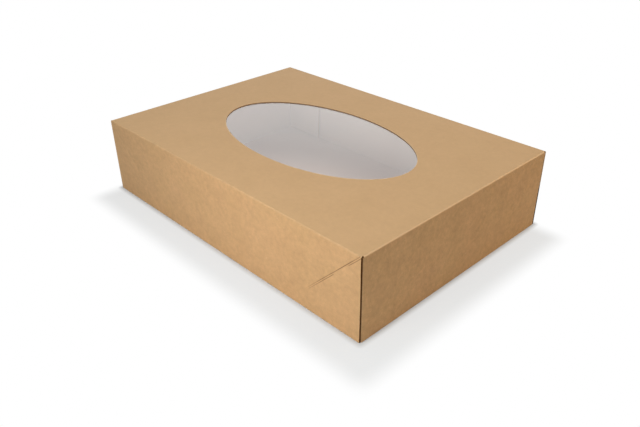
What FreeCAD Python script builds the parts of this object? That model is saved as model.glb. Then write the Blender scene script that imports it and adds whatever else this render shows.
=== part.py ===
import FreeCAD, Part
import math
import os
from collections import namedtuple

from FreeCAD import Vector

# Millimetres, +Z up, origin in the middle of the box's underside, X along its long sides.
# Lid: the outer box, turned upside down over the tray
lid_length = 362.0
lid_width = 253.0
box_height = 80.0
lid_board = 0.8
lid_floor_clearance = 0.2

# Window in the lid's top and the clear film glued under it
window_end_border = 64.7
window_side_border = 60.1
film_overlap = 10.0
film_thickness = 0.2

# Tray: the inner box, open at the top
tray_board = 0.8
end_clearance = 2.4
side_clearance = 1.9
rim_clearance = 0.3

# Folds, corner flaps and glue of both sheets
fold_inner_radius = 0.5
corner_setback = 1.4
lid_flap_reach = 56.0
tray_flap_reach = 56.0
flap_foot_clearance = 1.0
flap_rim_setback = 0.8
lid_flap_lift_deg = 0.0
tray_flap_lift_deg = 4.0
glue_thickness = 0.2
glue_margin = 2.5

# Crease pressed into the outside of the long walls, from each corner at 45 degrees
crease_width = 1.6
crease_depth = 0.15
crease_angle_deg = 45.0

Sheet = namedtuple("Sheet", "length width height board flap_reach flap_lift_deg")


def box_between(low, high):
    """A block between two opposite corners."""
    size = high - low
    return Part.makeBox(size.x, size.y, size.z, low)


def fold(centre, start, end, board, run):
    """A quarter bend of the board about an axis through centre, drawn out along run."""
    inner = fold_inner_radius
    outer = inner + board
    middle = (start + end).normalize()
    outside = Part.Arc(centre + start * outer, centre + middle * outer, centre + end * outer)
    inside = Part.Arc(centre + end * inner, centre + middle * inner, centre + start * inner)
    edges = [
        outside.toShape(),
        Part.makeLine(centre + end * outer, centre + end * inner),
        inside.toShape(),
        Part.makeLine(centre + start * inner, centre + start * outer),
    ]
    return Part.Face(Part.Wire(edges)).extrude(run)


def below_diagonal(sheet, shift):
    """Everything under the line that climbs inwards from the corner, moved by shift along X."""
    reach = sheet.height + sheet.flap_reach
    corner = Vector(sheet.length / 2 + shift, 0, 0)
    outline = [
        corner,
        corner + Vector(-reach, 0, 0),
        corner + Vector(-reach, 0, reach * math.tan(math.radians(crease_angle_deg))),
        corner,
    ]
    return Part.Face(Part.makePolygon(outline)).extrude(Vector(0, sheet.width, 0))


def corner_flap(sheet):
    """The flap behind the long wall, its part under the diagonal swung off the wall."""
    radius = fold_inner_radius + sheet.board
    wall_side = sheet.width / 2 - sheet.board - glue_thickness
    whole = box_between(
        Vector(
            sheet.length / 2 - sheet.flap_reach,
            wall_side - sheet.board,
            sheet.board + flap_foot_clearance,
        ),
        Vector(sheet.length / 2 - radius, wall_side, sheet.height - flap_rim_setback),
    )
    wedge = below_diagonal(sheet, 0)
    loose = whole.common(wedge)
    slope = math.radians(crease_angle_deg)
    loose.rotate(
        Vector(sheet.length / 2, wall_side, 0),
        Vector(-math.cos(slope), 0, math.sin(slope)),
        sheet.flap_lift_deg,
    )
    return [whole.cut(wedge), loose]


def corner_glue(sheet):
    """The glue that holds the flap to the long wall, on the side of the diagonal at the end wall."""
    radius = fold_inner_radius + sheet.board
    wall_side = sheet.width / 2 - sheet.board
    patch = box_between(
        Vector(
            sheet.length / 2 - sheet.flap_reach + glue_margin,
            wall_side - glue_thickness,
            sheet.board + flap_foot_clearance + glue_margin,
        ),
        Vector(sheet.length / 2 - radius, wall_side, sheet.height - flap_rim_setback - glue_margin),
    )
    return patch.cut(below_diagonal(sheet, glue_margin))


def quarter_sheet(sheet):
    """One quarter of the folded sheet: panel, two walls, their folds and one corner."""
    board = sheet.board
    radius = fold_inner_radius + board
    half_length = sheet.length / 2
    half_width = sheet.width / 2
    long_wall_end = half_length - corner_setback
    short_wall_end = half_width - board - glue_thickness - radius
    panel = box_between(
        Vector(0, 0, 0), Vector(half_length - radius, half_width - radius, board)
    )
    long_wall = box_between(
        Vector(0, half_width - board, radius), Vector(long_wall_end, half_width, sheet.height)
    )
    short_wall = box_between(
        Vector(half_length - board, 0, radius), Vector(half_length, short_wall_end, sheet.height)
    )
    down, along_x, along_y = Vector(0, 0, -1), Vector(1, 0, 0), Vector(0, 1, 0)
    long_fold = fold(
        Vector(0, half_width - radius, radius), down, along_y, board, along_x * long_wall_end
    )
    short_fold = fold(
        Vector(half_length - radius, 0, radius), down, along_x, board, along_y * short_wall_end
    )
    corner_fold = fold(
        Vector(half_length - radius, short_wall_end, radius),
        along_x, along_y, board, Vector(0, 0, sheet.height - radius),
    )
    pieces = [long_wall, short_wall, long_fold, short_fold, corner_fold]
    pieces += corner_flap(sheet) + [corner_glue(sheet)]
    return panel.multiFuse(pieces)


def crease(sheet):
    """The groove along the diagonal on the outside of one long wall."""
    slope = math.radians(crease_angle_deg)
    groove = box_between(
        Vector(0, sheet.width / 2 - crease_depth, -crease_width / 2),
        Vector(sheet.height / math.sin(slope), sheet.width / 2, crease_width / 2),
    )
    groove.rotate(Vector(0, 0, 0), Vector(0, 1, 0), 180 + crease_angle_deg)
    return groove.translated(Vector(sheet.length / 2, 0, 0))


def mirrored(shape, normal):
    """The shape and its mirror image across a plane through the origin."""
    return shape.fuse(shape.mirror(Vector(0, 0, 0), normal))


def folded_sheet(sheet):
    """The whole sheet folded into an open box with its panel at the bottom."""
    quarter = quarter_sheet(sheet).cut(crease(sheet))
    half = mirrored(quarter, Vector(1, 0, 0))
    return mirrored(half, Vector(0, 1, 0)).removeSplitter()


def window_size():
    """Length and width of the oval window."""
    return lid_length - 2 * window_end_border, lid_width - 2 * window_side_border


def lid():
    """The lid, its panel on top with the oval window cut out."""
    sheet = Sheet(
        lid_length, lid_width, box_height - lid_floor_clearance,
        lid_board, lid_flap_reach, lid_flap_lift_deg,
    )
    length, width = window_size()
    oval = Part.Ellipse(Vector(0, 0, 0), length / 2, width / 2).toShape()
    hole = Part.Face(Part.Wire([oval])).extrude(Vector(0, 0, lid_board))
    shell = folded_sheet(sheet).cut(hole)
    shell.rotate(Vector(0, 0, 0), Vector(1, 0, 0), 180)
    return shell.translated(Vector(0, 0, box_height))


def tray():
    """The tray, sized to slide into the lid with room at its ends and sides."""
    length = lid_length - 2 * (lid_board + end_clearance)
    width = lid_width - 2 * (2 * lid_board + glue_thickness + side_clearance)
    height = box_height - lid_board - rim_clearance
    return folded_sheet(Sheet(length, width, height, tray_board, tray_flap_reach, tray_flap_lift_deg))


def window_film():
    """The clear film under the window, glued to the lid all round the opening."""
    length, width = window_size()
    top = box_height - lid_board
    reach = Vector(length / 2 + film_overlap, width / 2 + film_overlap, 0)
    return box_between(
        Vector(0, 0, top - film_thickness) - reach, Vector(0, 0, top) + reach
    )


def single_solid(shape):
    """The one solid that a shape holds."""
    (body,) = shape.Solids
    return body


os.makedirs("parts", exist_ok=True)
for node, shape in (("tray", tray()), ("lid", lid()), ("window_film", window_film())):
    single_solid(shape).exportStep(f"parts/{node}.step")
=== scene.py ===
import math
from collections import namedtuple

import bmesh
import bpy
from mathutils import Matrix, Vector, noise


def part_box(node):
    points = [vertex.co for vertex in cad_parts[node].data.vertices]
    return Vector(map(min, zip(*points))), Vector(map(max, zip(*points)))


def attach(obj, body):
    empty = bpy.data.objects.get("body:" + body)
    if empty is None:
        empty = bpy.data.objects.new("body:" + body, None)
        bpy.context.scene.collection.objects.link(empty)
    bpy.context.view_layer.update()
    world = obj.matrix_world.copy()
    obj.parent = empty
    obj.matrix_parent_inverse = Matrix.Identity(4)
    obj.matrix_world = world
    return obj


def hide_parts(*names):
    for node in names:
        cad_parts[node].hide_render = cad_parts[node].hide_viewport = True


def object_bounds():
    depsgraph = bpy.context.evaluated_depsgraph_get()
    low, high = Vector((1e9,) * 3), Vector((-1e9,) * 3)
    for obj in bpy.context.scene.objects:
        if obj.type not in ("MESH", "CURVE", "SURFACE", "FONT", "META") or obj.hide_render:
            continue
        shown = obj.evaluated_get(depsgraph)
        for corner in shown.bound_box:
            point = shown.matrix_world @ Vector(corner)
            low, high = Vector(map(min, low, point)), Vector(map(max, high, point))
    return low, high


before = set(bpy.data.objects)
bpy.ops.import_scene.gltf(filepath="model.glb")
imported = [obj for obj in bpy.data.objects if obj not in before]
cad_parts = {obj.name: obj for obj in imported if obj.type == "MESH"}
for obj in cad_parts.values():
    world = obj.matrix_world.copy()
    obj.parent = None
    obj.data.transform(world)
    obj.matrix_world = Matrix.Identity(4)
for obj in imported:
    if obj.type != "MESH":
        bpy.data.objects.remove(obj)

cad_low, cad_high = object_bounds()

# Lengths are in metres and angles in radians, in the frame of the CAD model
MM = 0.001
lid_low, lid_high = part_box("lid")
tray_low, tray_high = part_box("tray")
film_low, film_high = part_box("window_film")

# The folded sheets: board, folds, and the corner flaps behind the long walls
BOARD = lid_high.z - film_high.z
FOLD_INNER_RADIUS = 0.5 * MM
GLUE_THICKNESS = 0.2 * MM
FLAP_REACH = 56 * MM
FLAP_FOOT_GAP = 1.0 * MM
FLAP_RIM_SETBACK = 0.8 * MM
LID_FLAP_LIFT = 0.0
TRAY_FLAP_LIFT = math.radians(4)

# The window, cut a little off the middle of the lid, and the film under it, which hangs by
# less than a board's thickness and ripples so many times a metre along X and Y
FILM_OVERLAP = 10 * MM
WINDOW_HALF_LENGTH = film_high.x - FILM_OVERLAP
WINDOW_HALF_WIDTH = film_high.y - FILM_OVERLAP
WINDOW_SHIFT = (1.6 * MM, -1.7 * MM)
WINDOW_TURN = math.radians(0.7)
FILM_STEP = 5 * MM
FILM_BELOW_BOARD = 0.01 * MM
FILM_SAG = 0.12 * MM
FILM_RIPPLE_SCALE = (14, 22)
FILM_RIPPLE_SEED = 3

# Mesh density
FOLD_STEPS = 6
PANEL_STEP = 4.5 * MM
WALL_STEP = 5 * MM
RING_WIDTH = 19 * MM
RING_SHARES = (0.0, 0.025, 0.15, 0.3, 0.45, 0.6, 0.8, 1.0)

# Tolerances: of grid places, of a count of steps, of merged vertices and of cuts
SAME_PLACE = 1e-9
SAME_SHARE = 1e-6
MERGE_DISTANCE = 1e-6
CUT_DISTANCE = 1e-7

# How spotty the paper is: even on the panel, most on the end walls
PANEL = 0.0
LONG_WALL = 0.65
END_WALL = 1.0

# How much painted highlight the paper takes where it bends from the panel into a wall: a lighter
# colour along the bend, partly the paler stretched fibres of the fold
LONG_FOLD_HIGHLIGHT = 0.15
END_FOLD_HIGHLIGHT = 1.0

# The bend from an end wall into its flap gets painted shade, for the shadow in the slit beside the
# long wall's end, between these angles, or from its start where the long wall is pressed shut
# beside it
BEND_SHADE_FROM = math.radians(36)
BEND_SHADE_TO = math.radians(48)
SHUT_SHADE_FROM = 0.0

# The pressed crease on the long walls: a shallow groove between two lines of painted shade, for
# the shadows along its shoulders, one of them broken, that fades out away from the corner. The
# fades say how fast the depth and the lines come in from its far end, and the wander how uneven
# the lines are.
CREASE_HALF_WIDTH = 0.72 * MM
CREASE_SHIFT = 0.55 * MM
CREASE_LINE = 0.42 * MM
CREASE_DEPTH = 0.16 * MM
CREASE_REACH = 60 * MM
CREASE_BREAK = (14 * MM, 29 * MM)
CREASE_DEPTH_FADE = 3.0
CREASE_LINE_FADE = 2.5
CREASE_WANDER_SCALE = (90, 3)
CREASE_WANDER = (0.85, 0.5)
# A face of a long wall has a normal that is at least this long along Y
UPRIGHT = 0.2

# How far the long walls end short of a corner at the panel, half way down and at the rim, and how
# strong the painted shade of their crease lines is, by the end (X) and the side (Y) that the
# corner is on
Corner = namedtuple("Corner", "panel middle rim crease")
LID_CORNERS = {
    (1, -1): Corner(1.1 * MM, 0.75 * MM, 0.95 * MM, 1.0),
    (1, 1): Corner(0.1 * MM, 0.15 * MM, 0.2 * MM, 0.3),
    (-1, -1): Corner(0.2 * MM, 0.25 * MM, 0.4 * MM, 0.12),
    (-1, 1): Corner(0.9 * MM, 1.0 * MM, 1.2 * MM, 0.4),
}
TRAY_CORNERS = {
    (1, -1): Corner(1.4 * MM, 1.3 * MM, 1.6 * MM, 0.3),
    (1, 1): Corner(1.5 * MM, 1.4 * MM, 1.2 * MM, 0.2),
    (-1, -1): Corner(1.3 * MM, 1.4 * MM, 1.5 * MM, 0.2),
    (-1, 1): Corner(1.4 * MM, 1.3 * MM, 1.4 * MM, 0.3),
}
WALL_END_MARGIN = 0.4 * MM
# An end closer to the corner than this is pressed shut near the panel and open at the rim
PRESSED_GAP = 0.3 * MM
SHUT_TO = 30 * MM
OPEN_FROM = 42 * MM

# Where each sheet's uneven crease lines are taken from the noise
LID_SEED = 9
TRAY_SEED = 10

# Camera, fitted to the corners of the box in the photograph. The azimuth runs from the side
# of negative Y towards +X, and the elevation is how far the camera looks down.
PHOTO_WIDTH = 640
FOCAL_PIXELS = 654.8
CAMERA_AT = Vector((439.5, -412.6, 342.1)) * MM
CAMERA_AZIMUTH = math.radians(46.49)
CAMERA_ELEVATION = math.radians(30.36)
CAMERA_ROLL = math.radians(-0.66)
SENSOR_WIDTH_MM = 36.0
CAMERA_CLIP = (0.01, 20.0)


# Folded sheets

def sign(value):
    """1 for a positive value and -1 for any other."""
    return 1 if value > 0 else -1


def clamped(value):
    """The value, or the nearer end of the range from 0 to 1."""
    return min(1.0, max(0.0, value))


def spaced(start, end, step):
    """Even places from start to end, about step apart, both ends included."""
    count = max(1, math.ceil(abs(end - start) / step - SAME_SHARE))
    return [start + (end - start) * i / count for i in range(count + 1)]


def lines(stops, step):
    """Grid lines through every stop, about step apart between them."""
    places = [stops[0]]
    for start, end in zip(stops, stops[1:]):
        places += spaced(start, end, step)[1:]
    return places


def mirrored_lines(stops, step):
    """Grid lines through every stop and its negative."""
    half = lines(stops, step)
    return [-place for place in reversed(half)] + half[1:]


class Sheet:
    """A board folded into an open box, panel down, as its outer face before it has thickness."""

    def __init__(self, low, high, lift, corners, seed, window=None):
        self.half_length = (high.x - low.x) / 2
        self.half_width = (high.y - low.y) / 2
        self.depth = high.z - low.z
        self.radius = FOLD_INNER_RADIUS + BOARD
        self.arc = self.radius * math.pi / 2
        self.lift = lift
        self.corners = corners
        self.seed = seed
        self.last = self.half_length - self.radius - WALL_END_MARGIN
        self.window = window
        self.flap_start = self.half_width - BOARD - GLUE_THICKNESS - self.radius
        self.mesh = bmesh.new()
        layers = self.mesh.verts.layers
        self.flat = layers.float_vector.new("flat")
        # Shares of painted highlight on the bends of folds, and of painted shade on crease lines
        # and in the slits at open corners
        self.fold = layers.float.new("fold")
        self.crease = layers.float.new("crease")
        self.wall = layers.float.new("wall")
        # Painted highlight round the window's edge, and whether a long wall's end stands open (1),
        # with painted shade in its slit, or shut (-1)
        self.rim = layers.float.new("rim")
        self.gap = layers.float.new("gap")

    def drop(self, along, half):
        """Distance out, height and painted highlight share of a point, by its place on the
        unfolded board.
        """
        straight = half - self.radius
        if along <= straight:
            return along, 0.0, 0.0
        angle = min((along - straight) / self.radius, math.pi / 2)
        out = straight + self.radius * math.sin(angle)
        height = self.radius * (1 - math.cos(angle)) + max(0.0, along - straight - self.arc)
        return out, height, math.sin(2 * angle)

    def vertex(self, place, flat, fold=0.0, crease=0.0, wall=END_WALL):
        """A new vertex of the outer face with its place on the unfolded board."""
        vertex = self.mesh.verts.new(place)
        vertex[self.flat] = Vector((flat[0], flat[1], 0))
        vertex[self.fold] = fold
        vertex[self.crease] = crease
        vertex[self.wall] = wall
        return vertex

    def grid(self, rows, columns, place, keep=lambda row, column: True):
        """Quads between rows and columns. Place gives each vertex, keep says which quads exist."""
        made = {}

        def at(i, j):
            if (i, j) not in made:
                made[i, j] = place(rows[i], columns[j])
            return made[i, j]

        for i in range(len(rows) - 1):
            for j in range(len(columns) - 1):
                middle = (rows[i] + rows[i + 1]) / 2, (columns[j] + columns[j + 1]) / 2
                if keep(*middle):
                    self.mesh.faces.new((at(i, j), at(i + 1, j), at(i + 1, j + 1), at(i, j + 1)))

    def wall_rows(self, half):
        """Places down a wall on the unfolded board, from the edge of the panel to the rim."""
        straight = half - self.radius
        fold = [straight + self.arc * i / FOLD_STEPS for i in range(FOLD_STEPS + 1)]
        rim = straight + self.arc + self.depth - self.radius
        foot = fold[-1] + BOARD + FLAP_FOOT_GAP - self.radius
        return fold + lines([foot, rim - FLAP_RIM_SETBACK, rim], WALL_STEP)

    def panel_columns(self):
        """Grid lines across the panel along Y."""
        stops = [0.0, self.flap_start, self.half_width - self.radius]
        if self.window:
            stops.insert(1, self.window[1] + RING_WIDTH)
        return mirrored_lines(stops, PANEL_STEP)

    def panel_rows(self):
        """Grid lines across the panel along X."""
        stops = [0.0, self.last, self.half_length - self.radius]
        if self.window:
            stops.insert(1, self.window[0] + RING_WIDTH)
        return mirrored_lines(stops, PANEL_STEP)

    def panel(self):
        """The flat panel, with a ring of faces round the window if there is one."""

        def outside_ring(x, y):
            if not self.window:
                return True
            half_x, half_y = (half + RING_WIDTH for half in self.window)
            return abs(x) > half_x or abs(y) > half_y

        self.grid(
            self.panel_rows(), self.panel_columns(),
            lambda x, y: self.vertex((x, y, 0), (x, y), wall=PANEL), outside_ring,
        )
        if self.window:
            self.window_ring()

    def window_ring(self):
        """Faces between the oval and the rectangle of grid lines round it."""
        half_x, half_y = (half + RING_WIDTH for half in self.window)
        xs = [x for x in self.panel_rows() if abs(x) <= half_x + SAME_PLACE]
        ys = [y for y in self.panel_columns() if abs(y) <= half_y + SAME_PLACE]
        outline = [(x, ys[0]) for x in xs[:-1]] + [(xs[-1], y) for y in ys[:-1]]
        outline += [(x, ys[-1]) for x in xs[:0:-1]] + [(xs[0], y) for y in ys[:0:-1]]
        middle = Vector((WINDOW_SHIFT[0], -WINDOW_SHIFT[1]))
        turned = Matrix.Rotation(-WINDOW_TURN, 2)
        rings = []
        for share in RING_SHARES:
            ring = []
            for x, y in outline:
                turn = math.atan2(y / self.window[1], x / self.window[0])
                oval = Vector((self.window[0] * math.cos(turn), self.window[1] * math.sin(turn)))
                at = (middle + turned @ oval).lerp(Vector((x, y)), share)
                ring.append(self.vertex((*at, 0), at, wall=PANEL))
                # The window's edge gets a painted highlight
                ring[-1][self.rim] = 1.0 if share == 0 else 0.0
            rings.append(ring)
        for inner, outer in zip(rings, rings[1:]):
            for i in range(len(outline)):
                j = (i + 1) % len(outline)
                self.mesh.faces.new((inner[i], outer[i], outer[j], inner[j]))

    def wall_end(self, x, side, height):
        """How far a long wall ends short of the corner, at one height."""
        corner = self.corners[sign(x), side]
        down = 2 * height / self.depth
        if down < 1:
            return corner.panel + (corner.middle - corner.panel) * down
        return corner.middle + (corner.rim - corner.middle) * (down - 1)

    def shut(self, x, side):
        """Whether the end of a long wall is pressed shut to this corner near the panel."""
        return self.corners[sign(x), side].panel < PRESSED_GAP

    def open_at(self, x, side, height):
        """1 where the end of a long wall stands open at the corner, 0 where it is shut."""
        if not self.shut(x, side):
            return 1.0
        return clamped((height - SHUT_TO) / (OPEN_FROM - SHUT_TO))

    def long_wall(self, side):
        """One long wall with its fold, on the side of positive or negative Y."""

        def place(along, x):
            out, height, fold = self.drop(along, self.half_width)
            at_end = abs(x) > self.last - SAME_PLACE
            if at_end:
                x = math.copysign(self.half_length - self.wall_end(x, side, height), x)
            at, flat = (x, side * out, height), (x, side * along)
            vertex = self.vertex(at, flat, fold * LONG_FOLD_HIGHLIGHT, wall=LONG_WALL)
            if at_end:
                # Painted shade in the slit where the end stands open
                vertex[self.gap] = 2 * self.open_at(x, side, height) - 1
            return vertex

        columns = [x for x in self.panel_rows() if abs(x) <= self.last + SAME_PLACE]
        self.grid(self.wall_rows(self.half_width), columns[::side], place)

    def flap_fold(self, across):
        """Angle, distance in and distance out along Y past the end wall's vertical fold."""
        angle = min((across - self.flap_start) / self.radius, math.pi / 2)
        back = self.radius * (1 - math.cos(angle))
        back += max(0.0, across - self.flap_start - self.arc)
        return angle, back, self.flap_start + self.radius * math.sin(angle)

    def darkness(self, angle, x, side, height):
        """How much painted shade the vertical fold gets, for the shadow in the gap that the long
        wall leaves at the corner.
        """
        start = SHUT_SHADE_FROM if self.shut(x, side) else BEND_SHADE_FROM
        share = (angle - start) / (BEND_SHADE_TO - BEND_SHADE_FROM)
        return clamped(share) * self.open_at(x, side, height)

    def end_wall(self, side):
        """One end wall with its fold and its two corner flaps."""
        foot = BOARD + FLAP_FOOT_GAP
        top = self.depth - FLAP_RIM_SETBACK
        fold_end = self.flap_start + self.arc

        def place(along, across):
            out, height, fold = self.drop(along, self.half_length)
            y, dark = across, 0.0
            if abs(across) > self.flap_start:
                angle, back, y = self.flap_fold(abs(across))
                # Painted shade in the slit beside the long wall's end
                dark = self.darkness(angle, side, sign(across), height)
                out -= back
                y = math.copysign(y, across)
                if abs(across) > fold_end:
                    y -= math.copysign(self.swing(self.half_length - out, height), across)
            flat = (side * along, across)
            return self.vertex((side * out, y, height), flat, fold * END_FOLD_HIGHLIGHT, dark)

        def keep(along, across):
            height = self.drop(along, self.half_length)[1]
            if abs(across) < self.flap_start:
                return True
            if abs(across) < fold_end:
                return height > self.radius
            return foot < height < top

        flap_end = fold_end + FLAP_REACH - self.radius
        corner = [self.flap_start + self.arc * i / FOLD_STEPS for i in range(1, FOLD_STEPS + 1)]
        outer = corner + spaced(fold_end, flap_end, WALL_STEP)[1:]
        middle = [y for y in self.panel_columns() if abs(y) <= self.flap_start + SAME_PLACE]
        columns = [-y for y in reversed(outer)] + middle + outer
        self.grid(self.wall_rows(self.half_length), columns[::-side], place, keep)

    def swing(self, along, height):
        """How far the loose part of a flap, under the diagonal, stands off the wall."""
        under = (along - height) / math.sqrt(2)
        return max(0.0, under) * math.tan(self.lift)

    def long_wall_faces(self, end):
        """The upright faces of both long walls in one half of the box."""
        faces = []
        for face in self.mesh.faces:
            middle = face.calc_center_median()
            outermost = abs(middle.y) > self.half_width - BOARD / 2
            if outermost and middle.x * end > 0 and abs(face.normal.y) > UPRIGHT:
                faces.append(face)
        return faces

    def cut_creases(self):
        """Edges along the diagonals of the long walls, for the pressed crease."""
        normal = Vector((1, 0, 1)).normalized()
        shoulders = (-CREASE_SHIFT - CREASE_HALF_WIDTH, -CREASE_SHIFT + CREASE_HALF_WIDTH)
        offsets = [at + step * CREASE_LINE for at in shoulders for step in (-1, 0, 1)]
        offsets.append(-CREASE_SHIFT)
        for end in (-1, 1):
            across = Vector((end * normal.x, 0, normal.z))
            for offset in offsets:
                faces = self.long_wall_faces(end)
                edges = {edge for face in faces for edge in face.edges}
                verts = {vertex for face in faces for vertex in face.verts}
                bmesh.ops.bisect_plane(
                    self.mesh, geom=[*faces, *edges, *verts], dist=CUT_DISTANCE,
                    plane_co=Vector((end * self.half_length, 0, 0)) + across * offset,
                    plane_no=across,
                )

    def press_creases(self):
        """The creases pushed in, with two lines of painted shade along their shoulders."""
        for vertex in self.mesh.verts:
            x, y, z = vertex.co
            if abs(y) < self.half_width - BOARD / 2:
                continue
            end = self.half_length - abs(x)
            beside = (end - z) / math.sqrt(2) - CREASE_SHIFT
            along = (end + z) / math.sqrt(2)
            reach = max(0.0, 1 - along / (CREASE_REACH * math.sqrt(2)))
            if abs(beside) <= CREASE_HALF_WIDTH + CUT_DISTANCE:
                pushed = CREASE_DEPTH * min(1.0, CREASE_DEPTH_FADE * reach)
                vertex.co.y -= math.copysign(pushed, y)
            on_line = abs(abs(beside) - CREASE_HALF_WIDTH) < CREASE_LINE / 2
            broken = beside < 0 and CREASE_BREAK[0] < end < CREASE_BREAK[1]
            if on_line and not broken:
                scale_along, scale_x = CREASE_WANDER_SCALE
                place = Vector((along * scale_along, self.seed, x * scale_x))
                wander = CREASE_WANDER[0] + CREASE_WANDER[1] * noise.noise(place)
                fade = min(1.0, CREASE_LINE_FADE * reach)
                vertex[self.crease] = self.corners[sign(x), sign(y)].crease * fade * wander

    def shape(self, placed):
        """The whole outer face, facing outwards, creased and put in its place."""
        self.panel()
        for side in (-1, 1):
            self.long_wall(side)
            self.end_wall(side)
        bmesh.ops.remove_doubles(self.mesh, verts=self.mesh.verts, dist=MERGE_DISTANCE)
        bmesh.ops.recalc_face_normals(self.mesh, faces=self.mesh.faces)
        self.mesh.normal_update()
        lowest = min(self.mesh.faces, key=lambda face: face.calc_center_median().z)
        if lowest.normal.z > 0:
            bmesh.ops.reverse_faces(self.mesh, faces=self.mesh.faces)
        self.cut_creases()
        self.press_creases()
        for vertex in self.mesh.verts:
            vertex.co = placed @ vertex.co
        for face in self.mesh.faces:
            face.smooth = True

    def finish(self, name, placed, box, materials):
        """The object: thickness inwards, white inside, brown on the cut edges."""
        self.shape(placed)
        return thickened(linked(name, self.mesh, materials), *box)


def linked(name, mesh, materials):
    """A new object in the scene from a mesh under construction, which it uses up."""
    data = bpy.data.meshes.new(name)
    mesh.to_mesh(data)
    mesh.free()
    for material in materials:
        data.materials.append(material)
    piece = bpy.data.objects.new(name, data)
    bpy.context.collection.objects.link(piece)
    return piece


def thickened(piece, low, high):
    """The piece with the board's thickness on its inner side and sharp cut edges."""
    solid = piece.modifiers.new("board", "SOLIDIFY")
    solid.thickness = BOARD
    solid.offset = -1
    solid.use_even_offset = True
    solid.material_offset = 1
    solid.material_offset_rim = 2
    graph = bpy.context.evaluated_depsgraph_get()
    data = bpy.data.meshes.new_from_object(piece.evaluated_get(graph))
    piece.modifiers.clear()
    piece.data = data
    shaped = bmesh.new()
    shaped.from_mesh(data)
    for vertex in shaped.verts:
        vertex.co = [min(max(at, a), b) for at, a, b in zip(vertex.co, low, high)]
    for edge in shaped.edges:
        materials = {face.material_index for face in edge.link_faces}
        edge.smooth = len(materials) < 2
    shaped.to_mesh(data)
    shaped.free()
    return piece


# Materials

class Nodes:
    """A short way to write a material's nodes."""

    def __init__(self, name):
        self.material = bpy.data.materials.new(name)
        self.material.use_nodes = True
        self.tree = self.material.node_tree
        self.shader = self.tree.nodes["Principled BSDF"]
        self.output = self.tree.nodes["Material Output"]

    def add(self, kind, settings=None, **inputs):
        """A new node with its settings, and its inputs set or linked."""
        node = self.tree.nodes.new(kind)
        for key, value in (settings or {}).items():
            setattr(node, key, value)
        for key, value in inputs.items():
            self.feed(node, key.replace("_", " "), value)
        return node

    def feed(self, node, key, value):
        """Set or link one input, by its name or its number."""
        socket = node.inputs[int(key)] if key.isdigit() else node.inputs[key]
        if isinstance(value, bpy.types.NodeSocket):
            self.tree.links.new(value, socket)
        else:
            socket.default_value = value

    def surface(self, colour, roughness, specular, normal=None):
        """The material's own shader, with its colour, gloss and bump."""
        self.feed(self.shader, "Base Color", colour)
        self.feed(self.shader, "Roughness", roughness)
        self.feed(self.shader, "Specular IOR Level", specular)
        if normal:
            self.feed(self.shader, "Normal", normal)

    def attribute(self, name, output="Fac"):
        """A value that the mesh carries."""
        return self.add("ShaderNodeAttribute", {"attribute_name": name}).outputs[output]

    def scaled(self, vector, scale):
        """The vector scaled, for a pattern that is longer one way."""
        return self.add(
            "ShaderNodeMapping", None, Vector=vector, Scale=scale
        ).outputs["Vector"]

    def moved(self, vector, offset):
        """The vector moved, for a pattern that doesn't follow another."""
        return self.add(
            "ShaderNodeMapping", None, Vector=vector, Location=(offset, offset, 0)
        ).outputs["Vector"]

    def ranged(self, value, low, high, start=0.0, end=1.0, kind="LINEAR"):
        """The value carried from one range to another and held at its ends."""
        node = self.add(
            "ShaderNodeMapRange", {"interpolation_type": kind},
            Value=value, From_Min=low, From_Max=high, To_Min=start, To_Max=end,
        )
        return node.outputs["Result"]

    def pattern(self, vector, scale, detail, roughness=0.55, usual=(0.3, 0.7)):
        """Noise from 0 to 1, the usual range of its values spread over the whole."""
        node = self.add(
            "ShaderNodeTexNoise", None,
            Vector=vector, Scale=scale, Detail=detail, Roughness=roughness,
        )
        return self.ranged(node.outputs["Fac"], *usual)

    def mixed(self, share, first, second, blend="MIX"):
        """A colour between two, or one blended with the other."""
        node = self.tree.nodes.new("ShaderNodeMix")
        node.data_type = "RGBA"
        node.blend_type = blend
        for index, value in ((0, share), (6, first), (7, second)):
            self.feed(node, str(index), value)
        return node.outputs[2]

    def shaded(self, colour, share, low, high):
        """The colour multiplied by a mix of two others."""
        return self.mixed(1.0, colour, self.mixed(share, low, high), "MULTIPLY")

    def math(self, operation, first, second):
        """A number worked out from two."""
        node = self.add("ShaderNodeMath", {"operation": operation}, **{"0": first, "1": second})
        return node.outputs["Value"]

    def vector(self, operation, *vectors, output="Vector"):
        """A vector or a number worked out from vectors."""
        inputs = {str(i): vector for i, vector in enumerate(vectors)}
        node = self.add("ShaderNodeVectorMath", {"operation": operation}, **inputs)
        return node.outputs[output]

    def at_corner(self, colour):
        """The colour, with painted shade where a long wall's end stands open, for the shadow in
        the slit, and kraft where it is shut.
        """
        gap = self.attribute("gap")
        colour = self.mixed(self.ranged(gap, 0, 1), colour, SLIT_SHADE)
        return self.mixed(self.ranged(gap, 0, -1), colour, SHUT_EDGE)

    def blended(self, share, first, second):
        """A mix of two shaders."""
        node = self.add("ShaderNodeMixShader", None, **{"0": share, "1": first, "2": second})
        return node.outputs["Shader"]

    def bump(self, height, strength, distance, normal=None):
        """A normal that follows a pattern, on top of another if there is one."""
        node = self.add(
            "ShaderNodeBump", None, Height=height, Strength=strength, Distance=distance
        )
        if normal:
            self.feed(node, "Normal", normal)
        return node.outputs["Normal"]


def grey(value):
    """A grey as a colour."""
    return (value, value, value, 1)


WHITE = grey(1.0)

# Kraft paper, outside. The scales of its patterns are for the unfolded board in metres, and
# each pair of colours or greys is what its pattern runs between. A gloss is a roughness and a
# specular level, and a bump is a strength and a distance, here and for the other materials.
KRAFT = (0.610, 0.377, 0.195, 1)
KRAFT_CLOUD = (0.585, 0.359, 0.182, 1)
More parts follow.
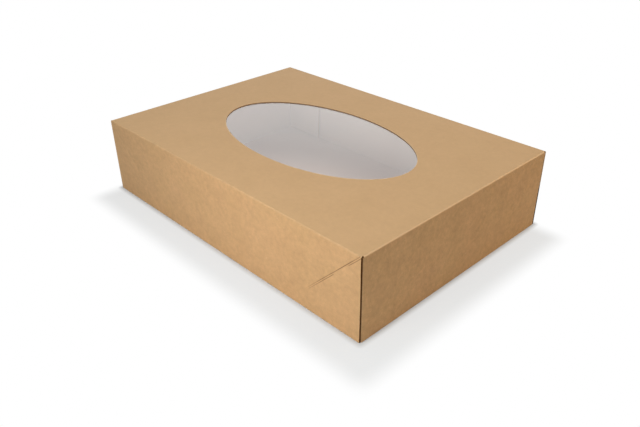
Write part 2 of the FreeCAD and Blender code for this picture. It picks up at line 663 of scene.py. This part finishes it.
# Painted highlight along the bends of the folds, partly the paler stretched fibres there
KRAFT_FOLD_HIGHLIGHT = (0.80, 0.52, 0.295, 1)
KRAFT_SPECK = (0.72, 0.50, 0.30, 1)
# Painted highlight round the window's edge
KRAFT_RIM_HIGHLIGHT = (0.70, 0.50, 0.32, 1)
CLOUD_SCALE = 22
MOTTLE_SCALE = 210
MOTTLE = grey(0.87), grey(1.095)
FIBRE_SCALE = 800
FIBRE_STRETCH = (0.6, 1, 1)
FIBRE = grey(0.92), grey(1.07)
HUE_SCALE = 28
HUE = (0.985, 0.995, 0.975, 1), (1.015, 1.0, 1.01, 1)
PATCH_SCALE = 60
PATCH = grey(0.95), grey(1.05)
SPECK_SCALE = 560
SPECK_RANGE = (0.72, 0.78)
LEAST_SPOTTY = 0.25
KRAFT_GLOSS = 0.65, 0.3
MOTTLE_BUMP = 0.3, 0.12 * MM
FIBRE_BUMP = 0.25, 0.05 * MM

# White liner, inside. The middle of the panel has painted shade, darker and warmer, out to the
# first of two distances, and fades to the plain liner at the second. A distance along Y counts
# double.
LINER = (0.965, 0.965, 0.96, 1)
LINER_CLOUD = (0.935, 0.935, 0.925, 1)
LINER_MIDDLE_SHADE = (0.67, 0.50, 0.43, 1)
LINER_SHADE_REACH = (0.18, 0.38)
LINER_STRETCH = (1, 2, 0)
LINER_CLOUD_SCALE = 30
LINER_FIBRE_SCALE = 500
LINER_FIBRE_STRETCH = (0.4, 1, 1)
LINER_FIBRE = grey(0.985), grey(1.015)
LINER_GLOSS = 0.55, 0.35
LINER_BUMP = 0.04, 0.05 * MM

# Cut edges, open and shut corners, and the painted shade in the slits at open corners and on the
# crease lines
EDGE = (0.23, 0.105, 0.035, 1)
EDGE_LIGHT = (0.39, 0.21, 0.085, 1)
TRAY_EDGE = (0.50, 0.41, 0.31, 1)
TRAY_EDGE_LIGHT = (0.66, 0.60, 0.52, 1)
SLIT_AND_CREASE_SHADE = (0.085, 0.028, 0.0, 1)
SLIT_SHADE = (0.10, 0.036, 0.004, 1)
SHUT_EDGE = (0.58, 0.38, 0.20, 1)
EDGE_SCALE = 1500
EDGE_RANGE = (0.35, 0.7)
EDGE_GLOSS = 0.85, 0.2
EDGE_BUMP = 0.4, 0.1 * MM


def kraft_material():
    """Brown kraft paper: cloudy, with fibres along the grain and small specks."""
    n = Nodes("kraft_outside")
    flat = n.attribute("flat", "Vector")
    cloud = n.pattern(flat, CLOUD_SCALE, 4)
    mottle = n.pattern(flat, MOTTLE_SCALE, 4, 0.6, (0.28, 0.72))
    hue = n.pattern(n.moved(flat, 7.0), HUE_SCALE, 3, 0.5)
    patch = n.pattern(n.moved(flat, 3.0), PATCH_SCALE, 2, 0.5)
    fibre = n.pattern(n.scaled(flat, FIBRE_STRETCH), FIBRE_SCALE, 3, 0.6, (0.25, 0.75))
    speck = n.pattern(flat, SPECK_SCALE, 1, 0.5, SPECK_RANGE)
    even = n.mixed(cloud, KRAFT_CLOUD, KRAFT)
    spots = even
    for share, shades in ((mottle, MOTTLE), (fibre, FIBRE), (hue, HUE), (patch, PATCH)):
        spots = n.shaded(spots, share, *shades)
    spots = n.mixed(speck, spots, KRAFT_SPECK)
    colour = n.mixed(n.ranged(n.attribute("wall"), 0, 1, LEAST_SPOTTY, 1.0), even, spots)
    # Painted highlights along the folds and round the window, and painted shade on the crease
    # lines and in the slits at open corners
    for name, marked in (("fold", KRAFT_FOLD_HIGHLIGHT), ("rim", KRAFT_RIM_HIGHLIGHT), ("crease", SLIT_AND_CREASE_SHADE)):
        colour = n.mixed(n.attribute(name), colour, marked)
    bumps = n.bump(fibre, *FIBRE_BUMP, n.bump(mottle, *MOTTLE_BUMP))
    n.surface(colour, *KRAFT_GLOSS, bumps)
    return n.material


def liner_material():
    """White inner liner, faintly cloudy, with painted shade, darker and warmer, in the middle of
    the panel.
    """
    n = Nodes("white_inside")
    flat = n.attribute("flat", "Vector")
    cloud = n.pattern(flat, LINER_CLOUD_SCALE, 4)
    fibre = n.pattern(n.scaled(flat, LINER_FIBRE_STRETCH), LINER_FIBRE_SCALE, 3)
    colour = n.mixed(cloud, LINER, LINER_CLOUD)
    # Painted shade over the middle of the panel, fading out towards its edges
    beside = n.vector("ABSOLUTE", flat)
    from_middle = n.vector("DOT_PRODUCT", beside, LINER_STRETCH, output="Value")
    panel = n.mixed(n.ranged(from_middle, *LINER_SHADE_REACH), LINER_MIDDLE_SHADE, colour)
    colour = n.mixed(n.ranged(n.attribute("wall"), 0.5, 1), panel, colour)
    colour = n.shaded(colour, fibre, *LINER_FIBRE)
    n.surface(n.at_corner(colour), *LINER_GLOSS, n.bump(fibre, *LINER_BUMP))
    return n.material


def edge_material(name, dark, light):
    """Cut edge: the bare core between the two faces."""
    n = Nodes(name)
    torn = n.pattern(n.attribute("flat", "Vector"), EDGE_SCALE, 2, usual=EDGE_RANGE)
    colour = n.at_corner(n.mixed(torn, dark, light))
    n.surface(colour, *EDGE_GLOSS, n.bump(torn, *EDGE_BUMP))
    return n.material


FILM_IOR = 1.5
FILM_HAZE = 0.05
FILM_ROUGHNESS = 0.08
FILM_TINT = (0.988, 0.986, 0.982, 1)
FILM_GLOSS = (1.0, 0.985, 0.965, 1)


def film_material():
    """Clear thin film: see-through with a faint haze, and glossy at low angles."""
    n = Nodes("clear_film")
    clear = n.add("ShaderNodeBsdfTransparent", None, Color=FILM_TINT).outputs["BSDF"]
    haze = n.add("ShaderNodeBsdfDiffuse", None, Color=WHITE).outputs["BSDF"]
    gloss = n.add(
        "ShaderNodeBsdfGlossy", None, Roughness=FILM_ROUGHNESS, Color=FILM_GLOSS
    ).outputs["BSDF"]
    # The same from above and from below, as for a film with air on both sides
    backing = n.add("ShaderNodeNewGeometry").outputs["Backfacing"]
    ior = n.ranged(backing, 0, 1, FILM_IOR, 1 / FILM_IOR)
    face = n.add("ShaderNodeFresnel", None, IOR=ior).outputs["Fac"]
    both_faces = n.math("DIVIDE", n.math("MULTIPLY", face, 2.0), n.math("ADD", face, 1.0))
    surface = n.blended(both_faces, n.blended(FILM_HAZE, clear, haze), gloss)
    n.tree.links.new(surface, n.output.inputs["Surface"])
    n.tree.nodes.remove(n.shader)
    return n.material


# Pieces

def make_lid(materials):
    """The lid's sheet, turned over on top of the tray, so that its two sides change places."""
    corners = {(end, -side): corner for (end, side), corner in LID_CORNERS.items()}
    window = WINDOW_HALF_LENGTH, WINDOW_HALF_WIDTH
    sheet = Sheet(lid_low, lid_high, LID_FLAP_LIFT, corners, LID_SEED, window)
    placed = Matrix.Translation((0, 0, lid_high.z)) @ Matrix.Rotation(math.pi, 4, "X")
    piece = sheet.finish("lid_sheet", placed, (lid_low, lid_high), materials)
    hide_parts("lid")
    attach(piece, "lid")


def make_tray(materials):
    """The tray's sheet, as it is folded."""
    sheet = Sheet(tray_low, tray_high, TRAY_FLAP_LIFT, TRAY_CORNERS, TRAY_SEED)
    piece = sheet.finish("tray_sheet", Matrix.Identity(4), (tray_low, tray_high), materials)
    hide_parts("tray")
    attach(piece, "tray")


def film_sag(x, y):
    """How far the film hangs below the board, only inside the window and a little rippled."""
    inside = 1 - (x / WINDOW_HALF_LENGTH) ** 2 - (y / WINDOW_HALF_WIDTH) ** 2
    place = Vector((x * FILM_RIPPLE_SCALE[0], y * FILM_RIPPLE_SCALE[1], FILM_RIPPLE_SEED))
    ripple = 0.5 + 0.5 * noise.noise(place)
    return max(0.0, inside) * ripple * FILM_SAG


def make_film():
    """The clear film, glued flat round the window and faintly rippled inside it."""
    mesh = bmesh.new()
    xs = spaced(film_low.x, film_high.x, FILM_STEP)
    ys = spaced(film_low.y, film_high.y, FILM_STEP)
    top = film_high.z - FILM_BELOW_BOARD
    grid = [[mesh.verts.new((x, y, top - film_sag(x, y))) for y in ys] for x in xs]
    for row, after in zip(grid, grid[1:]):
        for j in range(len(ys) - 1):
            face = mesh.faces.new((row[j], after[j], after[j + 1], row[j + 1]))
            face.smooth = True
    piece = linked("film_sheet", mesh, [film_material()])
    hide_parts("window_film")
    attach(piece, "lid")


# Stage

FLOOR_SIZE = 6.0
FLOOR_COLOUR = (0.785, 0.80, 0.83, 1)
FLOOR_BOUNCE = (0.80, 0.775, 0.73, 1)
# What the camera sees of the floor: plain white outside a painted shadow. In the shadow a share of
# it is lit by the lamps, and the rest is painted a little darker. The painted shadow is the box's
# outline drawn out along +X and -Y.
SHADOW_LOW = Vector((cad_low.x, cad_low.y - 32.5 * MM, 0))
SHADOW_HIGH = Vector((cad_high.x + 32.5 * MM, cad_high.y - 5 * MM, 0))
SHADOW_BLUR = 12 * MM
SHADOW_LIT = 0.22
SHADOW_PAINTED = 0.838
# The same for the painted dark line of shadow round the foot, by distance from the box
FOOT_LIT = ((0.0, 0.45), (5.0 * MM, 0.0))
FOOT_PAINTED = ((0.0, 0.49), (3.0 * MM, 0.85), (5.5 * MM, 1.0))


def shadow(n, place):
    """How deep a point of the floor is in the painted shadow, from 0 to 1."""
    from_middle = n.vector("SUBTRACT", place, (SHADOW_LOW + SHADOW_HIGH) / 2)
    half = (SHADOW_HIGH - SHADOW_LOW) / 2
    beyond = n.vector("SUBTRACT", n.vector("ABSOLUTE", from_middle), half)
    axes = n.add("ShaderNodeSeparateXYZ", None, Vector=beyond).outputs
    depths = [
        n.ranged(axes[axis], -SHADOW_BLUR, SHADOW_BLUR, 1, 0, "SMOOTHSTEP") for axis in "XY"
    ]
    return n.math("MULTIPLY", *depths)


def from_box(n, place):
    """Distance of a point of the floor from the box's footprint."""
    beyond = n.vector("SUBTRACT", n.vector("ABSOLUTE", place), (cad_high.x, cad_high.y, 0))
    return n.vector("LENGTH", n.vector("MAXIMUM", beyond, (0, 0, 0)), output="Value")


def by_distance(n, distance, stops):
    """A grey that follows the stops of distance and value."""
    ramp = n.add("ShaderNodeValToRGB")
    n.feed(ramp, "Fac", n.ranged(distance, 0, stops[-1][0]))
    elements = ramp.color_ramp.elements
    while len(elements) < len(stops):
        elements.new(1.0)
    for element, (place, value) in zip(elements, stops):
        element.position = place / stops[-1][0]
        element.color = grey(value)
    return ramp.outputs["Color"]


def floor_material():
    """White floor with a painted shadow of the box, which keeps a share of the real shadow, and
    fades to pure white away from it.
    """
    n = Nodes("floor")
    n.surface(FLOOR_COLOUR, 1.0, 0.0)
    lit = n.shader.outputs["BSDF"]
    place = n.add("ShaderNodeTexCoord").outputs["Object"]
    depth, distance = shadow(n, place), from_box(n, place)
    share = n.math("ADD", n.ranged(depth, 0, 1, 0, SHADOW_LIT), by_distance(n, distance, FOOT_LIT))
    brightness = n.math(
        "MULTIPLY", n.ranged(depth, 0, 1, 1, SHADOW_PAINTED), by_distance(n, distance, FOOT_PAINTED)
    )
    # The painted shadow: an emission made darker in the shadow and along the foot
    painted_shadow = n.add("ShaderNodeEmission", None, Color=brightness).outputs["Emission"]
    shown = n.blended(share, painted_shadow, lit)
    bounce = n.add("ShaderNodeBsdfDiffuse", None, Color=FLOOR_BOUNCE).outputs["BSDF"]
    seen = n.blended(n.add("ShaderNodeLightPath").outputs["Is Camera Ray"], bounce, shown)
    n.tree.links.new(seen, n.output.inputs["Surface"])
    return n.material


def make_floor():
    """The floor under the box, as part of the stage."""
    data = bpy.data.meshes.new("floor")
    half = FLOOR_SIZE / 2
    data.from_pydata(
        [(-half, -half, 0), (half, -half, 0), (half, half, 0), (-half, half, 0)],
        [], [(0, 1, 2, 3)],
    )
    data.materials.append(floor_material())
    floor = bpy.data.objects.new("floor", data)
    bpy.context.collection.objects.link(floor)


WORLD_FILL = 0.2


def make_world():
    """White to the camera and in reflections, a soft fill elsewhere."""
    world = bpy.data.worlds.new("studio")
    bpy.context.scene.world = world
    world.use_nodes = True
    tree = world.node_tree
    back = tree.nodes["Background"]
    path = tree.nodes.new("ShaderNodeLightPath")
    direct = tree.nodes.new("ShaderNodeMath")
    direct.operation = "MAXIMUM"
    tree.links.new(path.outputs["Is Camera Ray"], direct.inputs[0])
    tree.links.new(path.outputs["Is Glossy Ray"], direct.inputs[1])
    strength = tree.nodes.new("ShaderNodeMapRange")
    strength.inputs["To Min"].default_value = WORLD_FILL
    strength.inputs["To Max"].default_value = 1.0
    tree.links.new(direct.outputs["Value"], strength.inputs["Value"])
    back.inputs["Color"].default_value = WHITE
    tree.links.new(strength.outputs["Result"], back.inputs["Strength"])


LAMPS = (
    # name, place, aimed at, size, colour, power in watts, whether surfaces mirror it
    ("overhead", (0.18, -0.04, 1.3), (0, 0, 0), 1.2, (0.89, 1, 1), 9.5, True),
    ("front", (0.10, -0.465, 0.20), (0.06, 0, 0.03), 0.15, (1, 0.97, 0.9), 0.84, False),
    ("side", (0.75, 0.78, 0.45), (0, 0, 0.03), 0.5, (1, 0.55, 0.03), 2.5, False),
    ("back", (-0.75, 0.75, 0.6), (0, 0, 0.03), 0.9, (1, 0.9, 0.91), 1.2, True),
)


def make_lamps():
    """Soft area lamps."""
    for name, place, target, size, colour, power, mirrored in LAMPS:
        lamp = bpy.data.lights.new(name, "AREA")
        lamp.shape = "DISK"
        lamp.size = size
        lamp.color = colour
        lamp.energy = power
        piece = bpy.data.objects.new(name, lamp)
        piece.visible_glossy = mirrored
        piece.location = place
        aim = Vector(target) - Vector(place)
        piece.rotation_euler = aim.to_track_quat("-Z", "Y").to_euler()
        bpy.context.collection.objects.link(piece)


def make_camera():
    """The camera at the photograph's place, angle and focal length."""
    camera = bpy.data.cameras.new("camera")
    camera.sensor_width = SENSOR_WIDTH_MM
    camera.lens = camera.sensor_width * FOCAL_PIXELS / PHOTO_WIDTH
    camera.clip_start, camera.clip_end = CAMERA_CLIP
    piece = bpy.data.objects.new("camera", camera)
    azimuth, elevation, roll = CAMERA_AZIMUTH, CAMERA_ELEVATION, CAMERA_ROLL
    back = Vector((
        math.sin(azimuth) * math.cos(elevation),
        -math.cos(azimuth) * math.cos(elevation),
        math.sin(elevation),
    ))
    right = Vector((math.cos(azimuth), math.sin(azimuth), 0))
    up = back.cross(right)
    rolled_right = right * math.cos(roll) + up * math.sin(roll)
    rolled_up = up * math.cos(roll) - right * math.sin(roll)
    turn = Matrix((rolled_right, rolled_up, back)).transposed().to_4x4()
    piece.matrix_world = Matrix.Translation(CAMERA_AT) @ turn
    bpy.context.collection.objects.link(piece)
    bpy.context.scene.camera = piece


def main():
    """Everything in order."""
    faces = [kraft_material(), liner_material()]
    make_lid([*faces, edge_material("cut_edge", EDGE, EDGE_LIGHT)])
    make_tray([*faces, edge_material("tray_edge", TRAY_EDGE, TRAY_EDGE_LIGHT)])
    make_film()
    make_floor()
    make_world()
    make_lamps()
    make_camera()
    bpy.context.scene.view_settings.view_transform = "Standard"


main()
